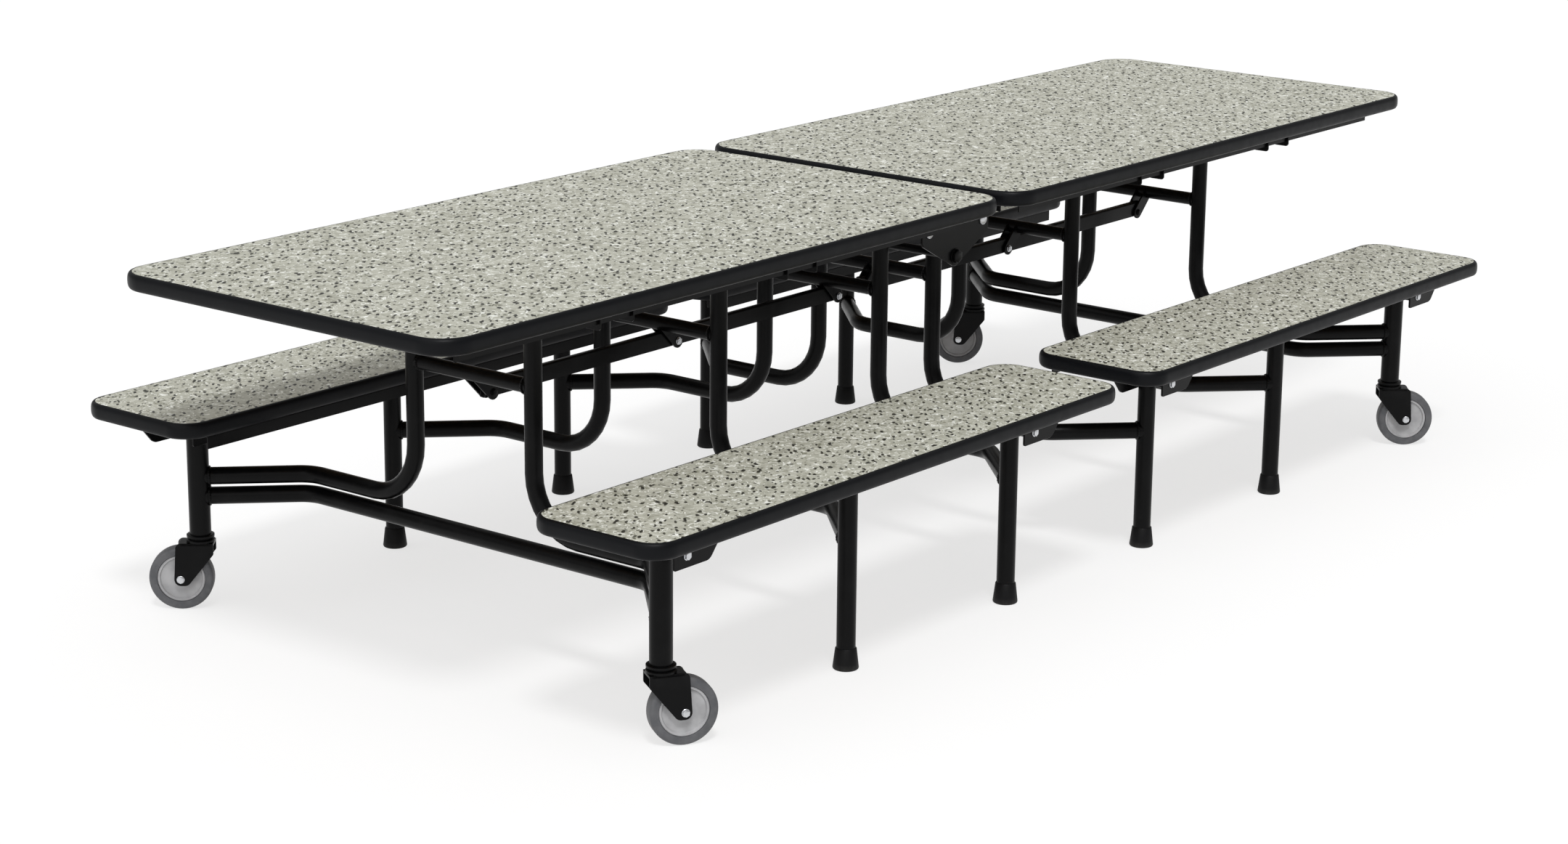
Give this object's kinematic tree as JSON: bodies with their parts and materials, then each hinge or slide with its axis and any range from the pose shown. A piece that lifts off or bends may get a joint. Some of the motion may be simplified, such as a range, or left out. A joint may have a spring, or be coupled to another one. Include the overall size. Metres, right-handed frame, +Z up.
{
  "type": "folding cafeteria table with benches",
  "caption": "Mobile cafeteria table with attached benches on swan-neck tube frames, folding at the centre and rolling on swivel casters.",
  "frame": {"origin": "on the floor under the centre of the open table, midway between the two halves", "axes": "+X along the table's length towards the right half, +Y across it towards the rear bench, +Z up"},
  "size_m": [2.958, 1.322, 0.686],
  "materials": {
    "laminate": "matt speckled laminate over particle board",
    "edge_band": "satin black moulded edge",
    "powder_coat": "semi-gloss black powder coat",
    "zinc": "bright zinc plate",
    "boot_rubber": "matt black",
    "wheel_hub": "satin light grey",
    "wheel_tyre": "matt dark grey"
  },
  "bodies": {
    "outer_legs_left": {"frame_outer_left": "powder_coat", "rod_outer_left": "zinc"},
    "centre": {"frame_inner_left": "powder_coat", "frame_inner_right": "powder_coat", "rod_inner_left": "zinc", "rod_inner_right": "zinc", "centre_plate_front": "powder_coat", "centre_plate_rear": "powder_coat", "centre_tie_rod": "powder_coat", "boot_inner_left_front": "boot_rubber", "boot_inner_left_rear": "boot_rubber", "boot_inner_right_front": "boot_rubber", "boot_inner_right_rear": "boot_rubber"},
    "table_top_left": {"top_left": "laminate", "top_band_left": "edge_band", "top_underframe_left": "powder_coat"},
    "table_top_right": {"top_right": "laminate", "top_band_right": "edge_band", "top_underframe_right": "powder_coat"},
    "middle_legs_left": {"frame_middle_left": "powder_coat", "rod_middle_left": "zinc", "boot_middle_left_front": "boot_rubber", "boot_middle_left_rear": "boot_rubber"},
    "middle_legs_right": {"frame_middle_right": "powder_coat", "rod_middle_right": "zinc", "boot_middle_right_front": "boot_rubber", "boot_middle_right_rear": "boot_rubber"},
    "outer_legs_right": {"frame_outer_right": "powder_coat", "rod_outer_right": "zinc"},
    "seat_left_front": {"bench_left_front": "laminate", "bench_band_left_front": "edge_band", "bench_underframe_left_front": "powder_coat"},
    "seat_left_rear": {"bench_left_rear": "laminate", "bench_band_left_rear": "edge_band", "bench_underframe_left_rear": "powder_coat"},
    "seat_right_front": {"bench_right_front": "laminate", "bench_band_right_front": "edge_band", "bench_underframe_right_front": "powder_coat"},
    "seat_right_rear": {"bench_right_rear": "laminate", "bench_band_right_rear": "edge_band", "bench_underframe_right_rear": "powder_coat"},
    "spine_bar_left": {"spine_left": "powder_coat"},
    "spine_bar_right": {"spine_right": "powder_coat"},
    "caster_left_front": {"fork_left_front": "powder_coat"},
    "caster_left_rear": {"fork_left_rear": "powder_coat"},
    "caster_right_front": {"fork_right_front": "powder_coat"},
    "caster_right_rear": {"fork_right_rear": "powder_coat"},
    "wheel_left_front": {"hub_left_front": "wheel_hub", "tyre_left_front": "wheel_tyre"},
    "wheel_left_rear": {"hub_left_rear": "wheel_hub", "tyre_left_rear": "wheel_tyre"},
    "wheel_right_front": {"hub_right_front": "wheel_hub", "tyre_right_front": "wheel_tyre"},
    "wheel_right_rear": {"hub_right_rear": "wheel_hub", "tyre_right_rear": "wheel_tyre"}
  },
  "joints": [
    {"name": "fold_left", "type": "hinge", "parent": "outer_legs_left", "child": "table_top_left", "pos_m": [-1.03, 0, 0.612], "axis": [0, -1, 0], "range_deg": [0, 90]},
    {"name": "level_centre", "type": "hinge", "parent": "table_top_left", "child": "centre", "pos_m": [-0.084, 0, 0.612], "axis": [0, 1, 0], "range_deg": [0, 90]},
    {"name": "fold_right", "type": "hinge", "parent": "centre", "child": "table_top_right", "pos_m": [0.084, 0, 0.612], "axis": [0, 1, 0], "range_deg": [0, 90]},
    {"name": "level_middle_left", "type": "hinge", "parent": "table_top_left", "child": "middle_legs_left", "pos_m": [-0.552, 0, 0.612], "axis": [0, 1, 0], "range_deg": [0, 90]},
    {"name": "level_middle_right", "type": "hinge", "parent": "table_top_right", "child": "middle_legs_right", "pos_m": [0.552, 0, 0.612], "axis": [0, -1, 0], "range_deg": [0, 90]},
    {"name": "level_outer_right", "type": "hinge", "parent": "table_top_right", "child": "outer_legs_right", "pos_m": [1.03, 0, 0.612], "axis": [0, -1, 0], "range_deg": [0, 90]},
    {"name": "seat_fold_left_front", "type": "hinge", "parent": "outer_legs_left", "child": "seat_left_front", "pos_m": [-1.17, -0.535, 0.325], "axis": [0, -1, 0], "range_deg": [0, 90]},
    {"name": "seat_fold_left_rear", "type": "hinge", "parent": "outer_legs_left", "child": "seat_left_rear", "pos_m": [-1.17, 0.535, 0.325], "axis": [0, -1, 0], "range_deg": [0, 90]},
    {"name": "seat_fold_right_front", "type": "hinge", "parent": "centre", "child": "seat_right_front", "pos_m": [0.224, -0.535, 0.325], "axis": [0, 1, 0], "range_deg": [0, 90]},
    {"name": "seat_fold_right_rear", "type": "hinge", "parent": "centre", "child": "seat_right_rear", "pos_m": [0.224, 0.535, 0.325], "axis": [0, 1, 0], "range_deg": [0, 90]},
    {"name": "spine_fold_left", "type": "hinge", "parent": "outer_legs_left", "child": "spine_bar_left", "pos_m": [-0.992, 0, 0.452], "axis": [0, -1, 0], "range_deg": [0, 90]},
    {"name": "spine_fold_right", "type": "hinge", "parent": "centre", "child": "spine_bar_right", "pos_m": [0.046, 0, 0.452], "axis": [0, 1, 0], "range_deg": [0, 90]},
    {"name": "swivel_left_front", "type": "hinge", "parent": "outer_legs_left", "child": "caster_left_front", "pos_m": [-1.17, -0.535, 0.137], "axis": [0, 0, 1], "continuous": true},
    {"name": "swivel_left_rear", "type": "hinge", "parent": "outer_legs_left", "child": "caster_left_rear", "pos_m": [-1.17, 0.535, 0.137], "axis": [0, 0, 1], "continuous": true},
    {"name": "swivel_right_front", "type": "hinge", "parent": "outer_legs_right", "child": "caster_right_front", "pos_m": [1.17, -0.535, 0.137], "axis": [0, 0, 1], "continuous": true},
    {"name": "swivel_right_rear", "type": "hinge", "parent": "outer_legs_right", "child": "caster_right_rear", "pos_m": [1.17, 0.535, 0.137], "axis": [0, 0, 1], "continuous": true},
    {"name": "roll_left_front", "type": "hinge", "parent": "caster_left_front", "child": "wheel_left_front", "pos_m": [-1.14065, -0.55406, 0.057], "axis": [0.5446, 0.8387, 0], "continuous": true},
    {"name": "roll_left_rear", "type": "hinge", "parent": "caster_left_rear", "child": "wheel_left_rear", "pos_m": [-1.1925, 0.56181, 0.057], "axis": [0.766, 0.6428, 0], "continuous": true},
    {"name": "roll_right_front", "type": "hinge", "parent": "caster_right_front", "child": "wheel_right_front", "pos_m": [1.1925, -0.56181, 0.057], "axis": [0.766, 0.6428, 0], "continuous": true},
    {"name": "roll_right_rear", "type": "hinge", "parent": "caster_right_rear", "child": "wheel_right_rear", "pos_m": [1.1475, 0.56181, 0.057], "axis": [0.766, 0.6428, 0], "continuous": true}
  ],
  "couplings": [
    {"joint": "level_centre", "follows": "fold_left", "ratio": 1},
    {"joint": "fold_right", "follows": "fold_left", "ratio": 1},
    {"joint": "level_middle_left", "follows": "fold_left", "ratio": 1},
    {"joint": "level_middle_right", "follows": "fold_left", "ratio": 1},
    {"joint": "level_outer_right", "follows": "fold_left", "ratio": 1},
    {"joint": "seat_fold_left_front", "follows": "fold_left", "ratio": 1},
    {"joint": "seat_fold_left_rear", "follows": "fold_left", "ratio": 1},
    {"joint": "seat_fold_right_front", "follows": "fold_left", "ratio": 1},
    {"joint": "seat_fold_right_rear", "follows": "fold_left", "ratio": 1},
    {"joint": "spine_fold_left", "follows": "fold_left", "ratio": 1},
    {"joint": "spine_fold_right", "follows": "fold_left", "ratio": 1}
  ]
}
